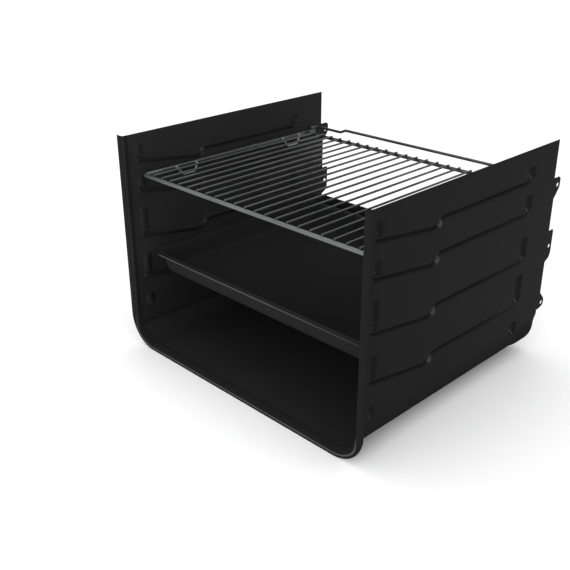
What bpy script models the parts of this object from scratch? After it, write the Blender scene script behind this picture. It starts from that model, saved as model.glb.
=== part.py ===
"""Open grill liner with a sliding wire rack and a drip tray.

One pressed sheet makes the two sides, the floor, the front lip and the rear tabs. A rear wall
closes the lower part, and a rack of welded wires and a shallow tray rest on pressed bosses.
Metres, +Z up, front at -Y, origin at the middle of the base of the whole object.
"""
import math

import bmesh
import bpy
from mathutils import Vector

# ---- driving dimensions ------------------------------------------------------------------
WIDTH = 0.400               # over the outer faces of the two sides
DEPTH = 0.370               # front lip to the rear edge of the sides
HEIGHT = 0.285              # underside of the floor to the top of the sides
SHEET = 0.001               # enamelled sheet, all over the liner
GAP = 0.0003                # clearance between pieces that touch
LIP = 0.012                 # how far the front lip stands out from the inner face
LIP_BEND = 0.004            # inner bend between wall and lip
CORNER_R = 0.032            # inner radius where sides meet floor
TAB_REACH = 0.016           # tabs beyond the rear edge of the sides
MID_REACH = 0.0045          # rear edge between the tabs stands this far back
TAB_HOLE_R = 0.0025

BOSS_H = 0.0035             # height of every pressed boss and runner
FLANK = 0.0025              # width of a pressed flank
LEDGE = 0.0008              # fall of a boss's top, which is nearly flat to carry what rests on it
RUNNER_HALF = 0.0035        # half the width of a runner at its foot
CREST_HALF = 0.0012         # half the width of a runner's crest

FRONT_BOSS = (0.0175, 0.0315)     # depth span of the front column of bosses
REAR_BOSS = (0.301, 0.321)        # depth span of the rear column
JOG = (0.124, 0.131)              # where each runner steps up
RACK_SEAT_Z = 0.2282              # top of the bosses that carry the rack
TRAY_SEAT_Z = 0.1210              # top of the bosses that carry the tray

# front boss top, rear boss top, runner centre at front, before the jog, after it, at the rear
LEVELS = (
    (0.2710, 0.2630, 0.2510, 0.2370, 0.2465, 0.2445),
    (RACK_SEAT_Z, RACK_SEAT_Z, 0.2095, 0.1940, 0.2055, 0.2030),
    (0.1850, 0.1715, 0.1470, 0.1310, 0.1425, 0.1400),
    (TRAY_SEAT_Z, TRAY_SEAT_Z, 0.0880, 0.0700, 0.0810, 0.0795),
)
LOW_BOSS_FRONT = (0.058, 0.041)
LOW_BOSS_REAR = (0.054, 0.037)

# tabs on the rear edge: top, bottom, hole height, and the outline's reach from top to bottom
TABS = (
    (0.2350, 0.2070, 0.2247, (0.0150, 0.0160, 0.0160, 0.0145, 0.0110, 0.0075, 0.0045)),
    (0.1630, 0.1200, 0.1410, (0.0155, 0.0155, 0.0155, 0.0155, 0.0145, 0.0060)),
    (0.0750, 0.0510, 0.0590, (0.0055, 0.0115, 0.0160, 0.0158, 0.0100)),
)
TAB_HOLE_DEPTH = 0.0105     # hole centre beyond the rear edge of the sides

SEAT_FRONT = 0.332          # the floor steps out behind this depth to seat the rear wall
SEAT_STEP = 0.0018
REAR_WALL_TOP = 0.120
REAR_FLANGE_FRONT = 0.340
REAR_BEND = 0.012

RACK_Z = 0.230              # centre of the frame wire
FRAME_R = 0.0025
BAR_R = 0.0014
LOOP_R = 0.0015
STOP_R = 0.0020
RACK_HALF = 0.1945          # centre line of the side wires from the middle
RACK_FRONT = 0.026
RACK_SIDE_END = 0.350
RACK_CORNER_R = 0.007
CROSS_DEPTH = 0.329
BAR_COUNT = 21
BAR_PITCH = 0.0174
BAR_SPAN = (0.0238, 0.3312)
LOOP_DROP = 0.0122
LOOPS = ((0.077, 0.088, 0.107, 0.113), (0.277, 0.287, 0.306, 0.313))
STOP_ENDS = 0.341
STOP_DEPTH = 0.353
STOP_RISE = 0.0037
STOP_JOG = (0.143, 0.135)

TRAY_HALF = 0.1975
TRAY_SPAN = (0.027, 0.335)
TRAY_SHEET = 0.0008
TRAY_DEPTH = 0.028
TRAY_RIM = 0.009
TRAY_TAPER = 0.007
TRAY_CORNER_R = 0.026

OVERALL_DEPTH = DEPTH + TAB_REACH
FRONT_Y = -OVERALL_DEPTH / 2
BASE_Z = LIP - SHEET        # the lip reaches this far below the floor's underside
WIRE_SIDES = 2              # bevel resolution of every wire


def place(x, depth, height):
    """Turn a depth behind the front lip and a height above the floor into a position."""
    return Vector((x, FRONT_Y + depth, BASE_Z + height))


# ---- scene helpers -----------------------------------------------------------------------
def clear_scene():
    for item in list(bpy.data.objects):
        bpy.data.objects.remove(item, do_unlink=True)


def new_collection(name):
    group = bpy.data.collections.new(name)
    bpy.context.scene.collection.children.link(group)
    return group


def material(name, colour, roughness, metallic):
    mat = bpy.data.materials.new(name)
    mat.use_nodes = True
    shader = mat.node_tree.nodes["Principled BSDF"]
    shader.inputs["Base Color"].default_value = (*colour, 1.0)
    shader.inputs["Roughness"].default_value = roughness
    shader.inputs["Metallic"].default_value = metallic
    mat.diffuse_color = (*colour, 1.0)
    return mat


def mesh_object(name, bm, mat, group):
    mesh = bpy.data.meshes.new(name)
    bm.to_mesh(mesh)
    bm.free()
    mesh.materials.append(mat)
    item = bpy.data.objects.new(name, mesh)
    group.objects.link(item)
    return item


def add_mirror(item):
    mirror = item.modifiers.new("Mirror", 'MIRROR')
    mirror.use_axis = (True, False, False)
    mirror.use_clip = True
    mirror.merge_threshold = 0.00005


def add_solidify(item, thickness):
    """Grow the sheet behind the modelled face."""
    solid = item.modifiers.new("Sheet", 'SOLIDIFY')
    solid.thickness = thickness
    solid.offset = -1.0
    solid.use_even_offset = True


def wire(name, points, radius, mat, group, parent):
    """A wire along the points, with filled caps."""
    curve = bpy.data.curves.new(name, 'CURVE')
    curve.dimensions = '3D'
    spline = curve.splines.new('POLY')
    spline.points.add(len(points) - 1)
    for point, position in zip(spline.points, points):
        point.co = (*(position - parent.location), 1.0)
    curve.bevel_depth = radius
    curve.bevel_resolution = WIRE_SIDES
    curve.use_fill_caps = True
    curve.materials.append(mat)
    item = bpy.data.objects.new(name, curve)
    group.objects.link(item)
    item.parent = parent
    return item


def arc(centre, radius, start, end, steps):
    """Points of an arc in a plane, as pairs."""
    points = []
    for i in range(steps + 1):
        angle = math.radians(start + (end - start) * i / steps)
        points.append((centre[0] + radius * math.cos(angle), centre[1] + radius * math.sin(angle)))
    return points


def interpolate(stations, value):
    """Linear interpolation through (position, value) pairs."""
    for (a, va), (b, vb) in zip(stations, stations[1:]):
        if value <= b:
            share = max(0.0, (value - a) / (b - a))
            return va + (vb - va) * share
    return stations[-1][1]


# ---- the pressed liner -------------------------------------------------------------------
ARC_STEPS = 7
INNER_HALF = WIDTH / 2 - SHEET


def lip_columns():
    """(depth, outward offset) from the lip's free edge round the bend to the wall."""
    columns = [(0.0, LIP)]
    for depth, offset in arc((LIP_BEND, LIP_BEND), LIP_BEND, 180, 270, 3):
        columns.append((depth, offset))
    return columns


def wall_columns():
    """Depths of the grid's columns along the sides."""
    depths = []
    for low, high in (FRONT_BOSS, REAR_BOSS):
        depths += [low, low + FLANK, high - FLANK, high]
    depths += list(JOG) + [SEAT_FRONT, SEAT_FRONT + 0.004, DEPTH]
    return sorted(depths)


def runner_height(level, depth):
    front, before, after, rear = level[2:]
    stations = ((FRONT_BOSS[0] + FLANK, front), (JOG[0], before), (JOG[1], after), (REAR_BOSS[1], rear))
    return interpolate(stations, depth)


def boss_top(front, rear, depth):
    return interpolate(((FRONT_BOSS[1], front), (REAR_BOSS[0], rear)), depth)


def side_lines(depth):
    """Heights of the grid's lines down the side at this depth, top first."""
    heights = [HEIGHT]
    for level in LEVELS:
        top = boss_top(level[0], level[1], depth)
        run = runner_height(level, depth)
        heights += [top, top - LEDGE, run + RUNNER_HALF, run + CREST_HALF]
        heights += [run - CREST_HALF, run - RUNNER_HALF]
    top = boss_top(LOW_BOSS_FRONT[0], LOW_BOSS_REAR[0], depth)
    bottom = boss_top(LOW_BOSS_FRONT[1], LOW_BOSS_REAR[1], depth)
    heights += [top, top - LEDGE, bottom + FLANK, bottom]
    return heights


LINES_PER_LEVEL = 6
SIDE_LINES = 1 + LINES_PER_LEVEL * len(LEVELS) + 4
TAB_LINES = ((6, 12), (13, 18), (24, 28))       # grid lines between which each tab stands


def rear_edge_lines():
    """Heights of the same lines at the rear edge, where they meet the tabs' corners."""
    stations = [(0, HEIGHT)]
    for (first, last), tab in zip(TAB_LINES, TABS):
        stations += [(first, tab[0]), (last, tab[1])]
    return [interpolate(stations, i) for i in range(SIDE_LINES)]


def pressed(line, depth):
    """How far the sheet is pressed inward at a grid line and depth."""
    crest = FRONT_BOSS[0] + FLANK - 1e-6 < depth < REAR_BOSS[1] - FLANK + 1e-6
    in_boss = any(low + FLANK - 1e-6 < depth < high - FLANK + 1e-6 for low, high in (FRONT_BOSS, REAR_BOSS))
    low_boss = SIDE_LINES - 4
    if line >= low_boss:
        return BOSS_H if in_boss and line - low_boss in (1, 2) else 0.0
    slot = (line - 1) % LINES_PER_LEVEL
    if line > 0 and slot in (3, 4) and crest:
        return BOSS_H
    if line > 0 and slot in (1, 2) and in_boss:
        return BOSS_H
    return 0.0


def profile(heights):
    """The left half's inner profile, top to the middle of the floor: (x, z, outward normal)."""
    stations = [(-INNER_HALF, height, (-1.0, 0.0)) for height in heights]
    centre = (-INNER_HALF + CORNER_R, SHEET + CORNER_R)
    for i in range(ARC_STEPS + 1):
        angle = math.radians(180 + 90 * i / ARC_STEPS)
        normal = (math.cos(angle), math.sin(angle))
        stations.append((centre[0] + CORNER_R * normal[0], centre[1] + CORNER_R * normal[1], normal))
    stations.append((0.0, SHEET, (0.0, -1.0)))
    return stations


def rear_edge_depth(line):
    """The rear edge runs forward round the lower corners, where the rear wall's bend shows."""
    share = min(1.0, max(0.0, (line - SIDE_LINES + 1) / 3))
    return DEPTH - REAR_BEND * share


def liner_grid():
    """Every column of the half sheet, front to rear, as lists of positions."""
    columns = []
    front_lines = side_lines(0.0)
    for depth, offset in lip_columns():
        row = []
        for x, z, normal in profile(front_lines):
            row.append(place(x + normal[0] * offset, depth, z + normal[1] * offset))
        columns.append(row)
    for depth in wall_columns():
        heights = rear_edge_lines() if depth == DEPTH else side_lines(depth)
        row = []
        for line, (x, z, normal) in enumerate(profile(heights)):
            seat = SEAT_STEP if depth > SEAT_FRONT and line >= SIDE_LINES else 0.0
            push = (pressed(line, depth) if line < SIDE_LINES else 0.0) - seat
            back = rear_edge_depth(line) if depth == DEPTH else depth
            row.append(place(x - normal[0] * push, back, z - normal[1] * push))
        columns.append(row)
    return columns


def tab_columns():
    """Two more columns behind the rear edge: the set-back edge, then the tabs' outline."""
    edge = []
    outline = []
    heights = rear_edge_lines()
    for line, height in enumerate(heights):
        reach = MID_REACH if TAB_LINES[0][0] <= line <= TAB_LINES[-1][1] else 0.0
        for (first, last), tab in zip(TAB_LINES, TABS):
            if first <= line <= last:
                reach = tab[3][line - first]
        edge.append(place(-INNER_HALF, DEPTH + min(reach, MID_REACH), height))
        outline.append(place(-INNER_HALF, DEPTH + reach, height))
    return edge, outline


def has_tab_face(line, column):
    """Whether the sheet has a face between this line and the next, behind the rear edge."""
    if column == 0:
        return TAB_LINES[0][0] <= line < TAB_LINES[-1][1]
    return any(first <= line < last for first, last in TAB_LINES)


def build_liner(mat, group, cutters):
    columns = liner_grid()
    line_count = len(columns[0])
    bm = bmesh.new()
    bmesh.ops.create_grid(bm, x_segments=len(columns) - 1, y_segments=line_count - 1, size=0.5)
    bm.verts.ensure_lookup_table()
    order = sorted(bm.verts, key=lambda v: (round(v.co.x, 5), -round(v.co.y, 5)))
    for index, vert in enumerate(order):
        vert.co = columns[index // line_count][index % line_count]
    edge_row = order[-line_count:]
    previous = edge_row[:SIDE_LINES]
    for column, positions in enumerate(tab_columns()):
        current = [bm.verts.new(position) for position in positions]
        for line in range(SIDE_LINES - 1):
            if has_tab_face(line, column):
                bm.faces.new((previous[line], previous[line + 1], current[line + 1], current[line]))
        previous = current
    loose = [vert for vert in bm.verts if not vert.link_faces]
    bmesh.ops.delete(bm, geom=loose, context='VERTS')
    bmesh.ops.remove_doubles(bm, verts=bm.verts, dist=0.00002)
    bmesh.ops.recalc_face_normals(bm, faces=bm.faces)
    turn_to_cavity(bm)
    item = mesh_object("liner_shell", bm, mat, group)
    add_mirror(item)
    add_solidify(item, SHEET)
    for index, tab in enumerate(TABS):
        cutter = hole_cutter(f"tab_hole_{index + 1}", tab[2], cutters)
        cut = item.modifiers.new(f"Hole {index + 1}", 'BOOLEAN')
        cut.operation = 'DIFFERENCE'
        cut.object = cutter
    return item


def turn_to_cavity(bm):
    """Point the half sheet's faces into the cavity, so the sheet grows outward."""
    inward = 0.0
    middle = place(0.0, DEPTH / 2, HEIGHT / 2)
    for face in bm.faces:
        inward += face.normal.dot(middle - face.calc_center_median()) * face.calc_area()
    if inward < 0:
        bmesh.ops.reverse_faces(bm, faces=bm.faces)


def hole_cutter(name, height, cutters):
    """A long pin through both sides at a tab's hole."""
    bm = bmesh.new()
    bmesh.ops.create_cone(bm, cap_ends=True, segments=16, radius1=TAB_HOLE_R, radius2=TAB_HOLE_R,
                          depth=WIDTH + 0.05)
    item = bpy.data.objects.new(name, bpy.data.meshes.new(name))
    bm.to_mesh(item.data)
    bm.free()
    item.rotation_euler = (0.0, math.radians(90), 0.0)
    item.location = place(0.0, DEPTH + TAB_HOLE_DEPTH, height)
    item.hide_render = True
    item.display_type = 'WIRE'
    cutters.objects.link(item)
    return item


# ---- the rear wall -----------------------------------------------------------------------
def build_rear_wall(mat, group):
    """A pan pushed in from behind: flanges against the liner, a bend, and a flat wall."""
    inset = GAP + SHEET
    heights = [REAR_WALL_TOP, 0.078, 0.036]
    stations = profile(heights)
    wall_depth = DEPTH - GAP
    rings = [(REAR_FLANGE_FRONT, 0.0)]
    for depth, offset in arc((wall_depth - REAR_BEND, REAR_BEND), REAR_BEND, 270, 360, 4):
        rings.append((depth, offset))
    bm = bmesh.new()
    rows = []
    for depth, offset in rings:
        row = []
        for line, (x, z, normal) in enumerate(stations):
            seated = line >= len(heights)
            push = inset + offset - (SEAT_STEP if seated else 0.0)
            row.append(bm.verts.new(place(x - normal[0] * push, depth, z - normal[1] * push)))
        rows.append(row)
    for near, far in zip(rows, rows[1:]):
        for i in range(len(stations) - 1):
            bm.faces.new((near[i], near[i + 1], far[i + 1], far[i]))
    top_middle = bm.verts.new(place(0.0, wall_depth, REAR_WALL_TOP))
    bm.faces.new(rows[-1] + [top_middle])
    bmesh.ops.recalc_face_normals(bm, faces=bm.faces)
    turn_to_cavity(bm)
    item = mesh_object("rear_wall", bm, mat, group)
    add_mirror(item)
    solid_outward(item, SHEET)
    return item


def solid_outward(item, thickness):
    """Grow the sheet on the side away from the cavity."""
    add_solidify(item, thickness)


# ---- the tray ----------------------------------------------------------------------------
def rounded_outline(half_width, front, rear, radius, steps):
    """A rounded rectangle, anticlockwise from above, as (x, depth) pairs."""
    points = []
    corners = ((half_width - radius, rear - radius, 0), (radius - half_width, rear - radius, 90),
               (radius - half_width, front + radius, 180), (half_width - radius, front + radius, 270))
    for x, depth, start in corners:
        points += arc((x, depth), radius, start, start + 90, steps)
    return points


def build_tray(mat, group, parent):
    """A shallow pan: turned-down edge, flat rim, leaning wall and floor."""
    top = TRAY_SEAT_Z + GAP + TRAY_SHEET
    edge_drop = 0.0011
    sections = (
        (0.0, top - edge_drop),
        (0.0005, top),
        (TRAY_RIM, top),
        (TRAY_RIM + TRAY_TAPER * 0.5, top - TRAY_DEPTH * 0.55),
        (TRAY_RIM + TRAY_TAPER, top - TRAY_DEPTH * 0.9),
        (TRAY_RIM + TRAY_TAPER + 0.005, top - TRAY_DEPTH),
    )
    bm = bmesh.new()
    rows = []
    for inset, height in sections:
        outline = rounded_outline(TRAY_HALF - inset, TRAY_SPAN[0] + inset, TRAY_SPAN[1] - inset,
                                  TRAY_CORNER_R - inset * 0.6, 5)
        rows.append([bm.verts.new(place(x, depth, height) - parent.location) for x, depth in outline])
    for outer, inner in zip(rows, rows[1:]):
        count = len(outer)
        for i in range(count):
            j = (i + 1) % count
            bm.faces.new((outer[i], outer[j], inner[j], inner[i]))
    bm.faces.new(rows[-1])
    item = mesh_object("drip_tray", bm, mat, group)
    item.parent = parent
    add_solidify(item, TRAY_SHEET)
    return item


# ---- the wire rack -----------------------------------------------------------------------
def frame_points():
    """The frame wire: up one side, across the front and back along the other."""
    left = -RACK_HALF
    points = [place(left, RACK_SIDE_END, RACK_Z)]
    corner = (left + RACK_CORNER_R, RACK_FRONT + RACK_CORNER_R)
    for x, depth in arc(corner, RACK_CORNER_R, 180, 270, 5):
        points.append(place(x, depth, RACK_Z))
    corner = (-left - RACK_CORNER_R, RACK_FRONT + RACK_CORNER_R)
    for x, depth in arc(corner, RACK_CORNER_R, 270, 360, 5):
        points.append(place(x, depth, RACK_Z))
    points.append(place(-left, RACK_SIDE_END, RACK_Z))
    return points


def stop_points():
    """The raised rear wire: its ends lie on the side wires, its middle steps up and back."""
    low = RACK_Z + FRAME_R + STOP_R + GAP
    bend = 0.005
    half = [place(-RACK_HALF, STOP_ENDS, low)]
    corner = (-RACK_HALF + bend, STOP_DEPTH - bend)
    for x, depth in arc(corner, bend, 180, 90, 4):
        half.append(place(x, depth, low))
    half.append(place(-STOP_JOG[0], STOP_DEPTH, low))
    half.append(place(-STOP_JOG[1], STOP_DEPTH + STOP_RISE / 2, low + STOP_RISE))
    other = [Vector((-point.x, point.y, point.z)) for point in reversed(half)]
    return half + other


def build_rack(mat, group, parent):
    wire("rack_frame_wire", frame_points(), FRAME_R, mat, group, parent)
    reach = RACK_HALF - FRAME_R - GAP
    ends = [place(-reach, CROSS_DEPTH, RACK_Z), place(reach, CROSS_DEPTH, RACK_Z)]
    wire("rack_rear_crosswire", ends, FRAME_R, mat, group, parent)
    wire("rack_stop_wire", stop_points(), STOP_R, mat, group, parent)
    bar_z = RACK_Z + FRAME_R + BAR_R + GAP
    first = -BAR_PITCH * (BAR_COUNT - 1) / 2
    for index in range(BAR_COUNT):
        x = first + index * BAR_PITCH
        ends = [place(x, BAR_SPAN[0], bar_z), place(x, BAR_SPAN[1], bar_z)]
        wire(f"rack_bar_{index + 1:02d}", ends, BAR_R, mat, group, parent)
    loop_x = RACK_HALF - FRAME_R - LOOP_R - GAP
    for side, sign in (("left", -1), ("right", 1)):
        for end, (a, b, c, d) in zip(("front", "rear"), LOOPS):
            low = RACK_Z - LOOP_DROP
            points = [place(sign * loop_x, a, RACK_Z), place(sign * loop_x, b, low),
                      place(sign * loop_x, c, low), place(sign * loop_x, d, RACK_Z)]
            wire(f"rack_guide_{end}_{side}", points, LOOP_R, mat, group, parent)


def slide_origin(name, position, group):
    """An empty that carries a sliding group."""
    empty = bpy.data.objects.new(name, None)
    empty.location = position
    group.objects.link(empty)
    return empty


def main():
    clear_scene()
    parts = new_collection("open grill liner")
    cutters = new_collection("cutters")
    enamel = material("black_enamel", (0.016, 0.016, 0.017), 0.32, 0.0)
    tray_enamel = material("tray_enamel", (0.014, 0.014, 0.016), 0.28, 0.0)
    rack_wire = material("rack_wire", (0.16, 0.16, 0.165), 0.34, 0.9)
    build_liner(enamel, parts, cutters)
    build_rear_wall(enamel, parts)
    tray_slide = slide_origin("tray_slide", place(0.0, TRAY_SPAN[0], TRAY_SEAT_Z), parts)
    rack_slide = slide_origin("rack_slide", place(0.0, RACK_FRONT, RACK_Z), parts)
    build_tray(tray_enamel, parts, tray_slide)
    build_rack(rack_wire, parts, rack_slide)


main()
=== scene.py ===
"""Looks for the open grill liner: enamelled sheet steel, a welded wire rack and a drip tray."""
import math

import bpy
from bpy.props import FloatProperty, FloatVectorProperty, IntProperty, PointerProperty
from mathutils import Matrix, Vector


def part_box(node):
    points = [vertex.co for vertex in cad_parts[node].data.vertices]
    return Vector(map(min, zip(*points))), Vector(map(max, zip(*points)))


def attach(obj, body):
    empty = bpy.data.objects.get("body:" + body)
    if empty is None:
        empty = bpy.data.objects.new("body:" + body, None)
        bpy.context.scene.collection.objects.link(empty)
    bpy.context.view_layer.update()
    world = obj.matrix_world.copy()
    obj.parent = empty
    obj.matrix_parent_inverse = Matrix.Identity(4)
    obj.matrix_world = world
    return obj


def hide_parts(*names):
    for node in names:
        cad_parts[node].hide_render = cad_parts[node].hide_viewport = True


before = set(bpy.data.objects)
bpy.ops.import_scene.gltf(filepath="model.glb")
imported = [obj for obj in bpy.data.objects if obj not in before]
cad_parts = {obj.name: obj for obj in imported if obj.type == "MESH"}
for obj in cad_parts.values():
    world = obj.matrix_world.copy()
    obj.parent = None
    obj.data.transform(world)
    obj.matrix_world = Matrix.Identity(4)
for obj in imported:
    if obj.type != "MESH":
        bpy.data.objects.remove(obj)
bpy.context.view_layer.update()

bl_info = {
    "name": "Grill liner, rack and tray",
    "version": (1, 0, 0),
    "blender": (4, 5, 0),
    "location": "3D View > Sidebar > Grill liner",
    "description": "Builds the pressed liner, its rear wall, the wire rack, the drip tray and a studio",
    "category": "Object",
}

LINER_LOW, LINER_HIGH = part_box("liner_shell")
TRAY_LOW, TRAY_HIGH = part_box("drip_tray")
WALL_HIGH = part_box("rear_wall")[1]
FRAME_LOW, FRAME_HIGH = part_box("rack_frame_wire")
CROSS_LOW, CROSS_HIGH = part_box("rack_rear_crosswire")
STOP_LOW, STOP_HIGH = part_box("rack_stop_wire")
BAR_NAMES = sorted(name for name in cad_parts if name.startswith("rack_bar_"))
GUIDE_NAMES = sorted(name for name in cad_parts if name.startswith("rack_guide_"))

# pressed features, as (depth behind the lip, height above the floor's underside), in metres
LIP = 0.012
INNER_HALF = LINER_HIGH.x - LIP
SHEET = 0.001
BASE_Z = LIP - SHEET
FRONT_Y = LINER_LOW.y
SIDE_TOP = LINER_HIGH.z - BASE_Z
REAR_EDGE = 0.370
CORNER_R = 0.032
REAR_BEND = 0.012
FRONT_BOSS = (0.0175, 0.0315)
REAR_BOSS = (0.301, 0.321)
JOG = (0.124, 0.131)
SEAT_FRONT = 0.326
WRAP_START = 0.3577
WRAP_LENGTH = 0.0165
SEAT_STEP = 0.0018
REAR_WALL_TOP = WALL_HIGH.z - BASE_Z
BOSS_GAP = 0.0008
RUNNER_SKEW = 1.25
# front boss top, rear boss top, then the runner's height at the front, before the jog, after it
# and at the rear
LEVELS = (
    (0.2710, 0.2630, 0.2510, 0.2370, 0.2465, 0.2445),
    (0.2282, 0.2282, 0.2095, 0.1940, 0.2055, 0.2030),
    (0.1850, 0.1715, 0.1470, 0.1310, 0.1425, 0.1400),
    (0.1210, 0.1210, 0.0880, 0.0700, 0.0810, 0.0795),
)
LOW_FRONT = (0.058, 0.041)
LOW_REAR = (0.054, 0.037)
# tab outlines, as (height, reach behind the rear edge), and the heights of their holes
TABS = (
    ((0.2350, 0.0120), (0.2345, 0.0142), (0.2330, 0.0156), (0.2310, 0.0160), (0.2235, 0.0160),
     (0.2210, 0.0155), (0.2190, 0.0144), (0.2150, 0.0113), (0.2070, 0.0045)),
    ((0.1630, 0.0148), (0.1615, 0.0158), (0.1590, 0.0160), (0.1340, 0.0160), (0.1280, 0.0152),
     (0.1250, 0.0138), (0.1225, 0.0100), (0.1200, 0.0050)),
    ((0.0750, 0.0045), (0.0700, 0.0092), (0.0650, 0.0140), (0.0625, 0.0155), (0.0590, 0.0160),
     (0.0560, 0.0155), (0.0530, 0.0130), (0.0510, 0.0055)),
)
TAB_HOLES = (0.2247, 0.1410, 0.0590)
TAB_HOLE_REACH = 0.0103
EDGE_BETWEEN_TABS = 0.0045
SURROUND_STRENGTH = 1.06
LENS_SHIFT = (0.02146, -0.00561)
# the side's lowest line, the depth where lines start to lean toward the tabs, and the drill's radius
SIDE_FOOT = 0.036
LEAN_START = 0.342
DRILL_R = 0.0028
# where the stop wire's raised middle starts and ends
STOP_JOG = (0.143, 0.135)
# a boss's height against a runner's, and how much each lower runner sinks toward the rear
BOSS_SHARE = 0.85
RUNNER_FADE = 0.22
# half widths of a runner's crest, above and below its middle
CREST_UP = 0.0016
CREST_DOWN = 0.0008
SHARP_EDGE = math.radians(62)
MIRROR = {"use_axis": (True, False, False), "use_clip": True, "merge_threshold": 0.00005}
FRAME_R = (FRAME_HIGH.z - FRAME_LOW.z) / 2
# where each guide wire leaves the side wire, bends level, bends up and meets it again
GUIDE_FRONT = (0.077, 0.088, 0.107, 0.113)
GUIDE_REAR = (0.277, 0.287, 0.306, 0.313)


def place(x, depth, height):
    """A depth behind the lip and a height above the floor's underside, as a position."""
    return Vector((x, FRONT_Y + depth, BASE_Z + height))


# ---- settings ------------------------------------------------------------------------------
class LinerSettings(bpy.types.PropertyGroup):
    """Sizes of the pressed liner and its rear wall."""
    sheet: FloatProperty(name="Sheet", description="Thickness of the enamelled sheet",
                         default=SHEET, min=0.0004, max=0.003, unit='LENGTH')
    press: FloatProperty(name="Press height", description="How far bosses and runners stand inward",
                         default=0.0034, min=0.001, max=0.006, unit='LENGTH')
    flank: FloatProperty(name="Flank", description="Slope below a boss and at a runner's ends",
                         default=0.0018, min=0.001, max=0.006, unit='LENGTH')
    side: FloatProperty(name="Boss side", description="Width of the slope at a boss's sides",
                        default=0.0058, min=0.001, max=0.0065, unit='LENGTH')
    ledge: FloatProperty(name="Ledge", description="Fall across the top of a boss",
                         default=0.0016, min=0.0003, max=0.003, unit='LENGTH')
    runner: FloatProperty(name="Runner", description="Half the width of a runner",
                          default=0.0032, min=0.002, max=0.008, unit='LENGTH')
    bend: FloatProperty(name="Lip bend", description="Radius between wall and lip",
                        default=0.004, min=0.001, max=0.008, unit='LENGTH')
    low_bend: FloatProperty(name="Low bend", description="Extra radius of that bend along the floor",
                            default=0.0035, min=0.0, max=0.0035, unit='LENGTH')
    edge: FloatProperty(name="Edge round", description="Rounding of the cut edges",
                        default=0.00028, min=0.0, max=0.0005, unit='LENGTH')


class TraySettings(bpy.types.PropertyGroup):
    """Sizes of the drip tray."""
    corner: FloatProperty(name="Corner", description="Radius of the rim's corners",
                          default=0.026, min=0.005, max=0.06, unit='LENGTH')
    rim: FloatProperty(name="Rim", description="Width of the flat rim",
                       default=0.009, min=0.004, max=0.02, unit='LENGTH')
    sheet: FloatProperty(name="Sheet", description="Thickness of the tray's sheet",
                         default=0.0008, min=0.0004, max=0.002, unit='LENGTH')
    steps: IntProperty(name="Corner steps", description="Facets in each corner",
                       default=12, min=3, max=32)


class RackSettings(bpy.types.PropertyGroup):
    """Sizes of the rack's wires and welds."""
    sides: IntProperty(name="Wire sides", description="Facets round each wire",
                       default=18, min=8, max=48)
    bend: FloatProperty(name="Corner bend", description="Radius of the frame wire's corners",
                        default=0.007, min=0.003, max=0.02, unit='LENGTH')
    guide_bend: FloatProperty(name="Guide bend", description="Radius of the guide wires' bends",
                              default=0.003, min=0.001, max=0.01, unit='LENGTH')
    weld: FloatProperty(name="Weld", description="Half length of a weld nugget",
                        default=0.0015, min=0.001, max=0.005, unit='LENGTH')


class FinishSettings(bpy.types.PropertyGroup):
    """Colours and gloss of the enamel and the wire."""
    enamel: FloatVectorProperty(name="Enamel", description="Colour of the enamel", size=3,
                                subtype='COLOR', default=(0.0094, 0.0095, 0.0095), min=0.0, max=1.0)
    enamel_rough: FloatProperty(name="Enamel roughness", description="Roughness of the enamel",
                                default=0.50, min=0.0, max=1.0, subtype='FACTOR')
    wire: FloatVectorProperty(name="Wire", description="Colour of the rack's wire", size=3,
                              subtype='COLOR', default=(0.070, 0.072, 0.072), min=0.0, max=1.0)
    wire_rough: FloatProperty(name="Wire roughness", description="Roughness of the wire",
                              default=0.34, min=0.0, max=1.0, subtype='FACTOR')


class StageSettings(bpy.types.PropertyGroup):
    """Floor, lights and camera."""
    floor: FloatVectorProperty(name="Floor", description="Colour of the floor", size=3,
                               subtype='COLOR', default=(0.96, 0.96, 0.96), min=0.0, max=1.0)
    key: FloatProperty(name="Key light", description="Power of the overhead light",
                       default=8.0, min=0.0, unit='POWER')
    fill: FloatProperty(name="Fill light", description="Power of the light from the right",
                        default=7.0, min=0.0, unit='POWER')
    front: FloatProperty(name="Front light", description="Power of the light into the cavity",
                         default=4.5, min=0.0, unit='POWER')
    lens: FloatProperty(name="Lens", description="Focal length on a 36 mm sensor, in millimetres",
                        default=52.166, min=10.0, max=200.0)
    camera_at: FloatVectorProperty(name="Camera", description="Where the camera stands", size=3,
                                   subtype='TRANSLATION', default=(0.67116, -0.76454, 0.56612))
    camera_turn: FloatVectorProperty(name="Camera turn", description="How the camera is turned",
                                     size=3, subtype='EULER',
                                     default=[math.radians(a) for a in (65.1553, 0.4711, 46.0254)])


# ---- shader expressions ----------------------------------------------------------------------
class Value:
    """A shader socket that can be used in arithmetic."""

    def __init__(self, finish, socket):
        self.finish = finish
        self.socket = socket

    def math(self, operation, *others):
        return self.finish.node("Math", {"operation": operation}, self, *others)

    def __add__(self, other):
        return self.math('ADD', other)

    def __mul__(self, other):
        return self.math('MULTIPLY', other)

    def __sub__(self, other):
        return self.math('SUBTRACT', other)

    def __rsub__(self, other):
        return self.finish.node("Math", {"operation": 'SUBTRACT'}, other, self)

    __radd__ = __add__
    __rmul__ = __mul__

    def between(self, low, high):
        """0 below low and 1 above high, smooth in between."""
        settings = {"interpolation_type": 'SMOOTHSTEP'}
        return self.finish.node("MapRange", settings, self, low, high)


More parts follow.
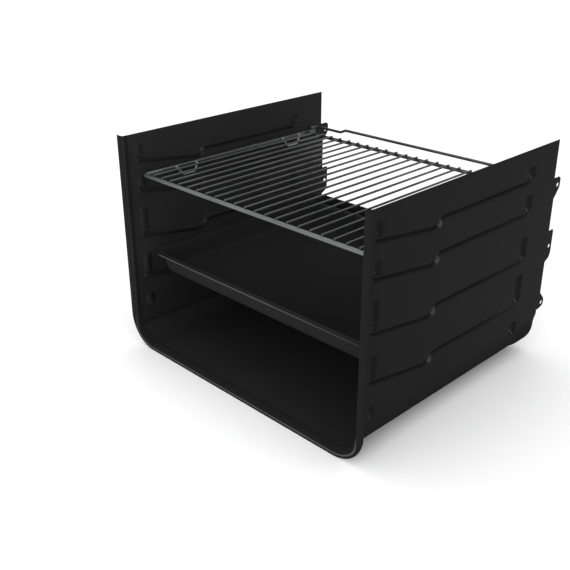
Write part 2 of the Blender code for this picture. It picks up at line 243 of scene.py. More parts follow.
class Finish:
    """A material whose node tree is written as Python expressions."""

    def __init__(self, name):
        self.material = bpy.data.materials.new(name)
        self.material.use_nodes = True
        self.tree = self.material.node_tree
        self.shader = self.tree.nodes["Principled BSDF"]
        self.position = self.node("TexCoord", {}, output="Object")

    def node(self, kind, settings, *inputs, output=0, **named):
        """Add a node, set it up, feed its inputs in order or by name, and return an output."""
        node = self.tree.nodes.new("ShaderNode" + kind)
        for setting, value in settings.items():
            setattr(node, setting, value)
        pairs = list(enumerate(inputs)) + list(named.items())
        for key, value in pairs:
            key = key.replace("_", " ") if isinstance(key, str) else key
            self.feed(node.inputs[key], value)
        return Value(self, node.outputs[output])

    def feed(self, socket, value):
        if isinstance(value, Value):
            self.tree.links.new(value.socket, socket)
        else:
            socket.default_value = value

    def noise(self, scale, detail=2.0, roughness=0.5, stretch=(1.0, 1.0, 1.0)):
        """Noise on the piece's own coordinates, at a number of features to a metre."""
        place_it = self.node("Mapping", {}, self.position, Scale=stretch)
        return self.node("TexNoise", {}, place_it, Scale=scale, Detail=detail, Roughness=roughness)

    def axis(self, name):
        return self.node("SeparateXYZ", {}, self.position, output=name)

    def blend(self, factor, first, second):
        """A colour between two colours."""
        node = self.tree.nodes.new("ShaderNodeMix")
        node.data_type = 'RGBA'
        self.feed(node.inputs[0], factor)
        self.feed(node.inputs[6], first)
        self.feed(node.inputs[7], second)
        return Value(self, node.outputs[2])

    def near(self, socket, middle, reach):
        """1 at a value of the socket, fading to 0 at a distance from it."""
        return 1.0 - (socket - middle).math('ABSOLUTE').between(reach * 0.4, reach)

    def bump(self, height, strength, distance):
        return self.node("Bump", {}, Strength=strength, Distance=distance, Height=height,
                         output="Normal")

    def set(self, **sockets):
        for name, value in sockets.items():
            self.feed(self.shader.inputs[name.replace("_", " ")], value)
        return self.material


def shade(colour, factor):
    """A colour made lighter or darker, as a shader takes it."""
    return (*(min(1.0, channel * factor) for channel in colour), 1.0)


def pressing_highlights():
    """Where painted highlights sit on the pressing: depth, height, half length, half height and how much.
    """
    marks = []
    for level in LEVELS:
        marks.append((sum(JOG) / 2, (level[3] + level[4]) / 2 - 0.001, 0.0045, 0.0062, 1.0))
        marks.append((sum(REAR_BOSS) / 2, level[5] + 0.0065, 0.0034, 0.0026, 1.0))
        marks.append((sum(FRONT_BOSS) / 2, level[2] + 0.0055, 0.0030, 0.0016, 0.45))
    marks.append((sum(REAR_BOSS) / 2, LOW_REAR[1] + 0.003, 0.0030, 0.0035, 1.0))
    marks.append((sum(FRONT_BOSS) / 2, LOW_FRONT[1] + 0.003, 0.0030, 0.0030, 0.6))
    return marks


def enamel_finish(name, rougher, cavity, pressed=False):
    """Black vitreous enamel: faint orange peel, fine specks, a thin greyer bloom in patches.

    Inside the cavity the enamel is painted lighter by the cavity factor: painted light against the
    cavity's shade. On pressed sheet it carries a painted highlight along the lip's bend and painted
    highlights at the sharpest ends of the pressing.
    """
    looks = bpy.context.scene.grill_finish
    finish = Finish(name)
    bloom = finish.noise(11.0, 2.0, 0.5).between(0.25, 0.85)
    specks = finish.noise(900.0, 1.0).between(0.70, 0.76)
    peel = finish.noise(260.0, 2.0, 0.45)
    grain = finish.noise(1400.0, 1.0)
    across = finish.axis("X").math('ABSOLUTE')
    along, up = finish.axis("Y"), finish.axis("Z")
    facing = finish.node("Attribute", {"attribute_name": "cavity"}, output="Fac")
    # Painted light: surfaces facing the cavity are painted lighter by the cavity factor, against its
    # shade.
    inside = facing * along.between(FRONT_Y + 0.004, FRONT_Y + 0.012)
    outer = finish.blend(bloom, shade(looks.enamel, 1.0), shade(looks.enamel, 1.12))
    painted_lit_inner = finish.blend(bloom, shade(looks.enamel, cavity), shade(looks.enamel, cavity * 1.12))
    colour = finish.blend(inside, outer, painted_lit_inner)
    colour = finish.blend(specks * 0.35, colour, shade(looks.enamel, 2.2))
    rough = bloom * 0.05 + specks * 0.08 + (looks.enamel_rough + rougher)
    if pressed:
        # Painted highlight: a lighter line along the lip's bend, further out and stronger along the
        # floor.
        side = (across - (INNER_HALF - CORNER_R)).math('MAXIMUM', 0.0)
        under = ((BASE_Z + SHEET + CORNER_R) - up).math('MAXIMUM', 0.0)
        out = (side * side + under * under).math('SQRT') - CORNER_R
        low = 1.0 - up.between(BASE_Z + 0.004, BASE_Z + 0.034)
        bend = finish.near(out - low * 0.0070, 0.0010, 0.0015) * \
            (1.0 - along.between(FRONT_Y + 0.0020, FRONT_Y + 0.0040))
        painted_bend_highlight = bend * (low * 0.88 + 0.12) * (bloom * 0.3 + 0.7)
        colour = finish.blend(painted_bend_highlight, colour, shade(looks.enamel, 8.0))
        # Painted shade: the crests of the pressed bosses and runners inside are painted darker, holding
        # back the cavity's painted light there.
        painted_crest_shade = inside * across.between(INNER_HALF - 0.0050, INNER_HALF - 0.0042) * \
            (1.0 - across.between(INNER_HALF - 0.0030, INNER_HALF - 0.0004))
        colour = finish.blend(painted_crest_shade * 0.75, colour, shade(looks.enamel, cavity * 0.6))
        # Painted highlights at the jogs and the ends of the bosses, broken up by noise and weaker inside.
        highlight_breakup = finish.noise(620.0, 2.0, 0.6, stretch=(1.0, 1.0, 0.45)).between(0.40, 0.56)
        painted_light_mask = 0.0
        for mark, height, reach, rise, amount in pressing_highlights():
            at = place(0.0, mark, height)
            painted_light_mask = finish.near(along, at.y, reach) * finish.near(up, at.z, rise) * amount + painted_light_mask
        painted_light_mask = painted_light_mask * (highlight_breakup * 0.75 + 0.25) * (1.0 - inside * 0.3)
        colour = finish.blend(painted_light_mask, colour, shade(looks.enamel, 6.5))
        dull = 1.0 - up.between(BASE_Z + 0.010, BASE_Z + 0.045)
        rough = rough + dull * (1.0 - inside) * 0.45
    surface = finish.bump(peel + grain * 0.2, 0.12, 0.0004)
    return finish.set(Base_Color=colour, Roughness=rough, Normal=surface, Metallic=0.0,
                      Specular_IOR_Level=0.02)


def tray_finish(name):
    """The tray's enamel, with painted light: a painted highlight along the rim's front edge, a lighter
    front wall, and a floor running from lighter at the left to darker at the right.
    """
    looks = bpy.context.scene.grill_finish
    finish = Finish(name)
    bloom = finish.noise(13.0, 2.0, 0.5).between(0.25, 0.85)
    specks = finish.noise(850.0, 1.0).between(0.70, 0.76)
    peel = finish.noise(260.0, 2.0, 0.45)
    along, up = finish.axis("Y"), finish.axis("Z")
    # Painted light: the front wall is painted lighter.
    front = 1.0 - along.between(TRAY_LOW.y + 0.019, TRAY_LOW.y + 0.023)
    # Painted highlight along the rim's front edge, fading toward the right.
    foremost = 1.0 - along.between(TRAY_LOW.y + 0.0005, TRAY_LOW.y + 0.0011)
    edge = foremost * up.between(TRAY_HIGH.z - 0.003, TRAY_HIGH.z - 0.002)
    # Painted light and shade: lighter to the left, darker to the right.
    painted_light_mask = finish.axis("X").between(-0.19, 0.12)
    colour = finish.blend(painted_light_mask, shade(looks.enamel, 1.55), shade(looks.enamel, 0.5))
    colour = finish.blend(bloom * 0.2, colour, shade(looks.enamel, 1.3))
    colour = finish.blend(front * (bloom * 0.3 + 0.7), colour, shade(looks.enamel, 1.8))
    fade = 1.0 - finish.axis("X").between(0.0, 0.17) * 0.6
    colour = finish.blend(edge * fade, colour, shade(looks.enamel, 8.0))
    colour = finish.blend(specks * 0.35, colour, shade(looks.enamel, 2.2))
    surface = finish.bump(peel, 0.12, 0.0004)
    rough = specks * 0.08 + bloom * 0.05 + (looks.enamel_rough + 0.08)
    return finish.set(Base_Color=colour, Roughness=rough, Normal=surface, Metallic=0.0,
                      Specular_IOR_Level=0.015)


def wire_finish(name, painted_light_gain=1.0, reach=0.05):
    """Drawn steel wire: fine lengthwise scratches, heat tint and darker patches of burnt-on fat.

    Near the front it is painted a number of times brighter, as painted light where the lamps fall on the
    wire.
    """
    looks = bpy.context.scene.grill_finish
    finish = Finish(name)
    tint = finish.noise(14.0, 3.0, 0.6).between(0.35, 0.72)
    soot = finish.noise(55.0, 4.0, 0.65).between(0.52, 0.70)
    drawn = finish.noise(2600.0, 1.0, 0.5, stretch=(1.0, 0.03, 1.0))
    colour = finish.blend(tint, shade(looks.wire, 0.85), shade(looks.wire, 1.20))
    colour = finish.blend(soot * 0.55, colour, shade(looks.wire, 0.45))
    # Painted light: the wire is painted lighter toward the front; with a long reach the whole wire is
    # lighter.
    front = 1.0 - finish.axis("Y").between(FRAME_LOW.y + reach * 0.12, FRAME_LOW.y + reach)
    painted_bright = finish.blend(tint, shade(looks.wire, painted_light_gain), shade(looks.wire, painted_light_gain * 1.3))
    colour = finish.blend(front, colour, painted_bright)
    rough = drawn * 0.12 + soot * 0.18 + looks.wire_rough
    surface = finish.bump(drawn, 0.10, 0.0002)
    return finish.set(Base_Color=colour, Roughness=rough, Normal=surface, Metallic=0.75,
                      Specular_IOR_Level=0.2)


# ---- modelling helpers -------------------------------------------------------------------------
def deselect_all():
    for item in bpy.context.selected_objects:
        item.select_set(False)


def new_piece(name, add, **settings):
    """Add a primitive on its own, name it and leave it active and selected."""
    deselect_all()
    add(**settings)
    piece = bpy.context.active_object
    piece.name = name
    piece.data.name = name
    return piece


def activate(piece):
    """Make the piece the only selected object, and the active one."""
    deselect_all()
    piece.select_set(True)
    bpy.context.view_layer.objects.active = piece


def settle(piece):
    """Put the piece's place, turn and scale into its mesh."""
    activate(piece)
    bpy.ops.object.transform_apply(location=True, rotation=True, scale=True)


def modify(piece, kind, **settings):
    """Add a modifier and apply it."""
    activate(piece)
    modifier = piece.modifiers.new(kind.title(), kind)
    for setting, value in settings.items():
        setattr(modifier, setting, value)
    bpy.ops.object.modifier_apply(modifier=modifier.name)


def join(piece, others):
    """Join other objects into the piece."""
    activate(piece)
    for other in others:
        other.select_set(True)
    bpy.ops.object.join()


def dress(piece, material, body, slot, *nodes, angle=35.0):
    """Smooth the piece, give it its finish and hang it on its body in place of the CAD nodes."""
    activate(piece)
    bpy.ops.object.shade_smooth_by_angle(angle=math.radians(angle))
    piece.data.materials.clear()
    piece.data.materials.append(material)
    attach(piece, body)
    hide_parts(*nodes)


def ease(value):
    """A smooth step from 0 to 1."""
    value = min(1.0, max(0.0, value))
    return value * value * (3.0 - 2.0 * value)


def between(stations, value):
    """Straight lines through (position, value) pairs."""
    for (a, va), (b, vb) in zip(stations, stations[1:]):
        if value <= b:
            return va + (vb - va) * max(0.0, (value - a) / (b - a))
    return stations[-1][1]


def spread(low, high, count):
    """Evenly spaced values between two ends, without the ends."""
    return [low + (high - low) * i / (count + 1) for i in range(1, count + 1)]


# ---- the pressed liner -----------------------------------------------------------------------
def runner_height(level, depth):
    """The middle of a level's runner at a depth, with its kink rounded."""
    front, before, after, rear = level[2:]
    stations = ((FRONT_BOSS[0], front), (JOG[0], before), (JOG[1], after), (REAR_BOSS[1], rear))
    shifts = (-0.003, -0.0015, 0.0, 0.002, 0.005, 0.009)
    samples = [between(stations, depth + shift) for shift in shifts]
    return sum(samples) / len(samples)


def boss_span(front, rear, depth):
    """A height between its value at the front bosses and at the rear ones."""
    return between(((FRONT_BOSS[1], front), (REAR_BOSS[0], rear)), depth)


def press_depth(liner, depth, height):
    """How far the side stands inward at a depth and height."""
    flank, ledge, half = liner.flank, liner.ledge, liner.runner
    most = 0.0
    for low, high in (FRONT_BOSS, REAR_BOSS):
        across = BOSS_SHARE * ease((depth - low) / liner.side) * ease((high - depth) / liner.side)
        for level in LEVELS:
            top = boss_span(level[0], level[1], depth)
            foot = runner_height(level, depth) + half + BOSS_GAP
            most = max(most, across * ease((top - height) / ledge) * ease((height - foot) / flank))
        top = boss_span(LOW_FRONT[0], LOW_REAR[0], depth)
        foot = boss_span(LOW_FRONT[1], LOW_REAR[1], depth)
        most = max(most, across * ease((top - height) / ledge) * ease((height - foot) / flank))
    along = ease((depth - FRONT_BOSS[0]) / 0.004) * ease((REAR_BOSS[0] + 0.012 - depth) / 0.012)
    for order, level in enumerate(LEVELS):
        off = height - runner_height(level, depth)
        upper = ease((half - off) / (half - CREST_UP))
        lower = ease((half * RUNNER_SKEW + off) / (half * RUNNER_SKEW - CREST_DOWN))
        fade = 1.0 - RUNNER_FADE * order * ease((depth - 0.20) / 0.10)
        most = max(most, along * upper * lower * fade)
    return liner.press * most


def side_heights(liner, depth):
    """Heights of the sheet's lines down one side at this depth, top first."""
    half = liner.runner
    heights = [SIDE_TOP, SIDE_TOP - 0.004]
    for level in LEVELS:
        top = boss_span(level[0], level[1], depth)
        run = runner_height(level, depth)
        foot, low = run + half + BOSS_GAP, run - half * RUNNER_SKEW
        heights += [top + 0.0015, top] + spread(top, top - liner.ledge, 2)
        heights += [top - liner.ledge, top - liner.ledge - 0.0012, (top + run) / 2]
        heights += [foot + liner.flank + 0.001, foot + liner.flank] + spread(foot + liner.flank, foot, 2)
        crest, under = run + CREST_UP, run - CREST_DOWN
        heights += [foot, run + half] + spread(run + half, crest, 3) + [crest, under]
        heights += spread(under, low, 4) + [low, low - 0.002]
    top = boss_span(LOW_FRONT[0], LOW_REAR[0], depth)
    foot = boss_span(LOW_FRONT[1], LOW_REAR[1], depth)
    heights += [top + 0.0015, top] + spread(top, top - liner.ledge, 2) + [top - liner.ledge]
    heights += [foot + liner.flank + 0.002, foot + liner.flank]
    heights += spread(foot + liner.flank, foot, 3) + [foot, foot - 0.0015]
    return heights


def tab_lines(count):
    """Lines at which the tabs start and end, from their share of the side's height."""
    starts = []
    for outline in TABS:
        for height in (outline[0][0], outline[-1][0]):
            share = (SIDE_TOP - height) / (SIDE_TOP - SIDE_FOOT)
            starts.append(round(share * (count - 1)))
    return starts


def rear_heights(count):
    """Heights of the same lines at the rear edge, where they meet the tabs' corners."""
    marks = tab_lines(count)
    ends = [height for outline in TABS for height in (outline[0][0], outline[-1][0])]
    stations = [(0, SIDE_TOP)] + list(zip(marks, ends)) + [(count - 1, SIDE_FOOT)]
    return [between(stations, line) for line in range(count)]


def section(heights, arc_steps=14, floor_steps=9):
    """The left half's section, top to the middle of the floor: (x, z, outward x, outward z)."""
    points = [(-INNER_HALF, height, -1.0, 0.0) for height in heights]
    for i in range(arc_steps + 1):
        angle = math.radians(180 + 90 * i / arc_steps)
        out_x, out_z = math.cos(angle), math.sin(angle)
        x, z = -INNER_HALF + CORNER_R * (1 + out_x), SHEET + CORNER_R * (1 + out_z)
        points.append((x, z, out_x, out_z))
    start = -INNER_HALF + CORNER_R
    points += [(start * (1 - i / floor_steps), SHEET, 0.0, -1.0) for i in range(1, floor_steps + 1)]
    return points


def liner_depths(liner):
    """Depths of the sheet's columns behind the lip's bend."""
    side = liner.side
    depths = [liner.bend + 0.004, 0.0155]
    for low, high in (FRONT_BOSS, REAR_BOSS):
        depths += [low] + spread(low, low + side, 5) + [low + side, (low + high) / 2, high - side]
        depths += spread(high - side, high, 5) + [high, high + 0.002]
    depths += spread(0.036, 0.108, 7) + [0.108] + spread(0.108, 0.140, 20) + [0.140]
    depths += spread(0.140, 0.299, 12) + [0.299]
    depths += spread(0.323, 0.341, 8) + [0.341, 0.349, WRAP_START] + spread(WRAP_START, REAR_EDGE, 7)
    depths += [REAR_EDGE]
    return sorted(depths)


def wrap(depth, share):
    """Bend the sheet's rear edge inward over the rear wall's bend: its new depth and its push."""
    if depth <= WRAP_START or share <= 0.0:
        return depth, 0.0
    radius = (REAR_BEND + 0.0013) / share
    straight = REAR_EDGE - WRAP_START
    length = straight + (WRAP_LENGTH - straight) * share
    angle = (depth - WRAP_START) / straight * length / radius
    return WRAP_START + radius * math.sin(angle), radius * (1 - math.cos(angle))


def liner_columns(liner):
    """The left half's columns, front to rear, as lists of positions, and the count of side lines."""
    columns = []
    heights = side_heights(liner, 0.0)
    front = section(heights)
    count = len(heights)
    for depth, out in ((0.0006, LIP + 0.0002), (0.0, LIP - 0.0006), (0.0, LIP - 0.0035)):
        columns.append([place(x + ox * out, depth, z + oz * out) for x, z, ox, oz in front])
    for i in range(10):
        angle = math.radians(90 * i / 9)
        column = []
        for line, (x, z, ox, oz) in enumerate(front):
            bend = liner.bend + liner.low_bend * ease((line - count) / 12)
            out = bend * (1 - math.sin(angle))
            column.append(place(x + ox * out, bend * (1 - math.cos(angle)), z + oz * out))
        columns.append(column)
    for depth in liner_depths(liner):
        heights = side_heights(liner, depth)
        if depth == REAR_EDGE:
            heights = rear_heights(count)
        elif depth > LEAN_START:
            share = (depth - LEAN_START) / (REAR_EDGE - LEAN_START)
            heights = [a + (b - a) * share for a, b in zip(heights, rear_heights(count))]
        column = []
        for line, (x, z, ox, oz) in enumerate(section(heights)):
            push = press_depth(liner, depth, z) if line < count else 0.0
            push -= SEAT_STEP * ease((line - count + 4) / 8) * ease((depth - SEAT_FRONT) / 0.014)
            back, turned = wrap(depth, ease((line - count + 7) / 12))
            push += turned
            column.append(place(x - ox * push, back, z - oz * push))
        columns.append(column)
    return columns, count


def set_positions(piece, positions):
    """Shape a grid primitive: its vertices run along X first, so columns are read across."""
    flat = [value for position in positions for value in position]
    piece.data.vertices.foreach_set("co", flat)
    piece.data.update()


def sheet_from_columns(name, columns):
    """A grid primitive whose vertices take the columns' positions."""
    wide, tall = len(columns), len(columns[0])
    piece = new_piece(name, bpy.ops.mesh.primitive_grid_add, x_subdivisions=wide - 1,
                      y_subdivisions=tall - 1, size=1.0, location=(0.0, 0.0, 0.0))
    set_positions(piece, [columns[i][j] for j in range(tall) for i in range(wide)])
    return piece


def face_cavity(piece):
    """Recalculate the half sheet's normals and point them into the cavity."""
    activate(piece)
    bpy.ops.object.mode_set(mode='EDIT')
    bpy.ops.mesh.select_all(action='SELECT')
    bpy.ops.mesh.remove_doubles(threshold=0.00001)
    bpy.ops.mesh.normals_make_consistent(inside=False)
    bpy.ops.object.mode_set(mode='OBJECT')
    middle = place(0.0, 0.18, 0.16)
    inward = sum(face.normal.dot(middle - face.center) * face.area for face in piece.data.polygons)
    if inward < 0:
        piece.data.flip_normals()


def mark_cavity(piece):
    """Store 1 on the vertices whose surface faces the cavity and 0 on the others."""
    floor_z = BASE_Z + SHEET + CORNER_R
    wall_y = place(0.0, 0.340, 0.0).y
    half = INNER_HALF - CORNER_R
    values = []
    for vertex in piece.data.vertices:
        at = vertex.co
        core = Vector((min(half, max(-half, at.x)), min(wall_y, at.y), max(floor_z, at.z)))
        values.append(1.0 if vertex.normal.dot(core - at) > 0.0 else 0.0)
    attribute = piece.data.attributes.new("cavity", 'FLOAT', 'POINT')
    attribute.data.foreach_set("value", values)


def clear_selection(piece):
    """Deselect all of the piece's mesh."""
    for group in (piece.data.vertices, piece.data.edges, piece.data.polygons):
        for item in group:
            item.select = False


def delete_faces(piece, unwanted):
    """Delete the faces that the test picks by their centre."""
    activate(piece)
    clear_selection(piece)
    for face in piece.data.polygons:
        face.select = unwanted(face.center)
    bpy.ops.object.mode_set(mode='EDIT')
    bpy.ops.mesh.select_mode(type='FACE')
    bpy.ops.mesh.delete(type='FACE')
    bpy.ops.object.mode_set(mode='OBJECT')


def tab_reach(height):
    """How far the sheet reaches behind the rear edge at a height."""
    for outline in TABS:
        if outline[-1][0] <= height <= outline[0][0]:
            return between([(-h, reach) for h, reach in outline], -height)
    return EDGE_BETWEEN_TABS if TABS[-1][-1][0] < height < TABS[0][0][0] else 0.0


def tab_columns(count):
    """Columns behind the rear edge that carry the tabs."""
    columns = []
    steps = 5
    heights = rear_heights(count)
    for step in range(1, steps + 1):
        column = []
        for height in heights:
            reach = tab_reach(height)
            base = min(reach, EDGE_BETWEEN_TABS)
            share = (step - 1) / (steps - 1)
            column.append(place(-INNER_HALF, REAR_EDGE + base + (reach - base) * share, height))
        columns.append(column)
    return columns


def build_liner(context):
    """One sheet, pressed, bent, mirrored, given its thickness and drilled."""
    liner = context.scene.grill_liner
    columns, count = liner_columns(liner)
    piece = sheet_from_columns("grill_liner", columns)
    tabs = [[column[line] for line in range(count)] for column in columns[-1:]] + tab_columns(count)
    ears = sheet_from_columns("tabs", tabs)
    band_top, band_foot = place(0, 0, TABS[0][0][0]).z, place(0, 0, TABS[-1][-1][0]).z
    edge_y = place(0, REAR_EDGE + EDGE_BETWEEN_TABS, 0).y
    outlines = [(place(0, 0, o[0][0]).z, place(0, 0, o[-1][0]).z) for o in TABS]

    def spare(centre):
        if not band_foot < centre.z < band_top:
            return True
        in_tab = any(foot < centre.z < top for top, foot in outlines)
        return centre.y > edge_y - 0.0004 and not in_tab

    delete_faces(ears, spare)
    join(piece, [ears])
    face_cavity(piece)
    modify(piece, 'MIRROR', **MIRROR)
    modify(piece, 'SOLIDIFY', thickness=liner.sheet, offset=-1.0, use_even_offset=True)
    for height in TAB_HOLES:
        at = place(0.0, REAR_EDGE + TAB_HOLE_REACH, height)
        drill = new_piece("drill", bpy.ops.mesh.primitive_cylinder_add, vertices=32, radius=DRILL_R,
                          depth=0.45, location=at, rotation=(0.0, math.radians(90), 0.0))
        settle(drill)
        modify(piece, 'BOOLEAN', operation='DIFFERENCE', object=drill, solver='EXACT')
        bpy.data.objects.remove(drill, do_unlink=True)
    modify(piece, 'BEVEL', width=liner.edge, segments=2, limit_method='ANGLE',
           angle_limit=SHARP_EDGE, use_clamp_overlap=True)
    mark_cavity(piece)
    # Painted light: the liner's inside is painted 1.85 times lighter.
    enamel = enamel_finish("black_enamel", 0.0, cavity=1.85, pressed=True)
    dress(piece, enamel, "liner", "enamel", "liner_shell")


def build_rear_wall(context):
    """A low pan pushed in from behind: flanges, a round bend and a flat wall."""
    liner = context.scene.grill_liner
    inset = liner.sheet + 0.0003
    heights = [REAR_WALL_TOP, 0.1195, 0.110, 0.095, 0.080, 0.065, 0.050, 0.040, 0.036]
    points = section(heights)
    back = REAR_EDGE - 0.0003
    rings = [(0.340, 0.0), (0.3404, 0.0), (0.350, 0.0)]
    for i in range(11):
        angle = math.radians(90 * i / 10)
        rings.append((back - REAR_BEND * (1 - math.sin(angle)), REAR_BEND * (1 - math.cos(angle))))
    columns = []
    for depth, out in rings:
        column = []
        for line, (x, z, ox, oz) in enumerate(points):
            push = inset + out - SEAT_STEP * ease((line - len(heights)) / 7)
            column.append(place(x - ox * push, depth, z - oz * push))
        columns.append(column)
    rim = columns[-1]
    centre = Vector((0.0, rim[0].y, rim[len(heights) - 1].z))
    for share in (0.2, 0.6, 1.0):
        column = [place(at.x * (1 - share), back, at.z - BASE_Z) for at in rim[:len(heights)]]
        column += [at.lerp(centre, share) for at in rim[len(heights):]]
        columns.append(column)
    piece = sheet_from_columns("grill_rear_wall", columns)
    face_cavity(piece)
    modify(piece, 'MIRROR', **MIRROR)
    modify(piece, 'SOLIDIFY', thickness=liner.sheet, offset=-1.0, use_even_offset=True)
    modify(piece, 'BEVEL', width=liner.edge, segments=2, limit_method='ANGLE',
           angle_limit=SHARP_EDGE, use_clamp_overlap=True)
    mark_cavity(piece)
    # Painted light: the rear wall's inside is painted 1.7 times lighter.
    dress(piece, enamel_finish("wall_enamel", 0.02, cavity=1.7), "liner", "enamel", "rear_wall")


# ---- the tray ----------------------------------------------------------------------------------
def build_tray(context):
    """A rounded blank, inset and sunk ring by ring, with its edge turned down."""
    tray = context.scene.grill_tray
    size = TRAY_HIGH - TRAY_LOW
    middle = (TRAY_HIGH + TRAY_LOW) / 2
    piece = new_piece("grill_tray", bpy.ops.mesh.primitive_plane_add, size=1.0,
                      location=(middle.x, middle.y, TRAY_HIGH.z))
    piece.scale = (size.x, size.y, 1.0)
    settle(piece)
    bpy.ops.object.mode_set(mode='EDIT')
    bpy.ops.mesh.select_mode(type='VERT')
    bpy.ops.mesh.select_all(action='SELECT')
    bpy.ops.mesh.bevel(offset=tray.corner, offset_type='OFFSET', segments=tray.steps,
                       affect='VERTICES', profile=0.5)
    bpy.ops.mesh.select_mode(type='FACE')
    bpy.ops.mesh.select_all(action='SELECT')
    bpy.ops.mesh.inset(thickness=0.0004, depth=0.0)
    bpy.ops.mesh.inset(thickness=tray.rim - 0.002, depth=0.0)
    for inward, down in ((0.0011, -0.0003), (0.0008, -0.0010), (0.0008, -0.0025), (0.0017, -0.0085),
                         (0.0017, -0.0070), (0.0012, -0.0040), (0.0011, -0.0025), (0.0016, -0.0016),
                         (0.0022, -0.0009), (0.0026, -0.0003)):
        bpy.ops.mesh.inset(thickness=inward, depth=down)
    bpy.ops.object.mode_set(mode='OBJECT')
    turn_edge_down(piece)
    modify(piece, 'SOLIDIFY', thickness=tray.sheet, offset=-1.0, use_even_offset=True)
    modify(piece, 'BEVEL', width=0.00022, segments=2, limit_method='ANGLE',
           angle_limit=math.radians(60), use_clamp_overlap=True)
    dress(piece, tray_finish("tray_enamel"), "tray", "tray_enamel", "drip_tray")


def turn_edge_down(piece):
    """Turn the outermost ring of the rim down a little."""
    clear_selection(piece)
    counts = {}
    for face in piece.data.polygons:
        for key in face.edge_keys:
            counts[key] = counts.get(key, 0) + 1
    rim = {index for key, count in counts.items() if count == 1 for index in key}
    for vertex in piece.data.vertices:
        vertex.select = vertex.index in rim
    for edge in piece.data.edges:
        edge.select = counts.get(edge.key, 0) == 1
    activate(piece)
    bpy.ops.object.mode_set(mode='EDIT')
    bpy.ops.mesh.select_mode(type='EDGE')
    bpy.ops.transform.translate(value=(0.0, 0.0, -0.0003))
    bpy.ops.mesh.extrude_region_move(TRANSFORM_OT_translate={"value": (0.0, 0.0, -0.0007)})
    bpy.ops.object.mode_set(mode='OBJECT')


# ---- the wire rack -----------------------------------------------------------------------------
def grow_wire(name, points, radius, bends, sides):
    """A round wire grown along straight runs with round bends at the points between them."""
    points = [Vector(point) for point in points]
    first = (points[1] - points[0]).normalized()
    turn = Vector((0, 0, 1)).rotation_difference(first).to_euler()
    piece = new_piece(name, bpy.ops.mesh.primitive_circle_add, vertices=sides, radius=radius,
                      location=points[0], rotation=turn)
    settle(piece)
    bpy.ops.object.mode_set(mode='EDIT')
    bpy.ops.mesh.select_mode(type='EDGE')
    bpy.ops.mesh.select_all(action='SELECT')
    at = points[0]
    for i in range(1, len(points)):
        goal = points[i]
        run = (goal - points[i - 1]).normalized()
        if i == len(points) - 1:
            bpy.ops.mesh.extrude_region_move(TRANSFORM_OT_translate={"value": goal - at})
            break
        leave = (points[i + 1] - goal).normalized()
        angle = run.angle(leave)
        reach = bends[i - 1] * math.tan(angle / 2)
        bpy.ops.mesh.extrude_region_move(TRANSFORM_OT_translate={"value": goal - run * reach - at})
        axis = run.cross(leave).normalized()
        centre = goal - run * reach + axis.cross(run).normalized() * bends[i - 1]
        bpy.ops.mesh.spin(steps=max(3, round(math.degrees(angle) / 9)), angle=-angle, center=centre,
                          axis=axis)
        at = goal + leave * reach
    bpy.ops.mesh.select_all(action='SELECT')
    bpy.ops.mesh.region_to_loop()
    bpy.ops.mesh.edge_face_add()
    bpy.ops.object.mode_set(mode='OBJECT')
    cap_ends(piece)
    return piece


def cap_ends(piece):
    """Fill both ends, round their edges and turn every face outward."""
    activate(piece)
    bpy.ops.object.mode_set(mode='EDIT')
    bpy.ops.mesh.select_mode(type='EDGE')
    bpy.ops.mesh.select_all(action='SELECT')
    bpy.ops.mesh.fill_holes(sides=0)
    bpy.ops.mesh.remove_doubles(threshold=0.000005)
    bpy.ops.mesh.normals_make_consistent(inside=False)
    bpy.ops.object.mode_set(mode='OBJECT')
    modify(piece, 'BEVEL', width=0.0004, segments=2, limit_method='ANGLE',
           angle_limit=math.radians(60), use_clamp_overlap=True)


def nugget(at, size):
    """A weld: a small sphere squashed into the crossing of two wires."""
    bead = new_piece("weld", bpy.ops.mesh.primitive_uv_sphere_add, segments=14, ring_count=8,
                     radius=1.0, location=at)
    bead.scale = size
    settle(bead)
    return bead


def frame_route():
    """The frame wire's corners, from one side's rear end round the front to the other."""
    left, front = FRAME_LOW.x + FRAME_R, FRAME_LOW.y + FRAME_R
    rear, z = FRAME_HIGH.y, FRAME_LOW.z + FRAME_R
    return [(left, rear, z), (left, front, z), (-left, front, z), (-left, rear, z)]


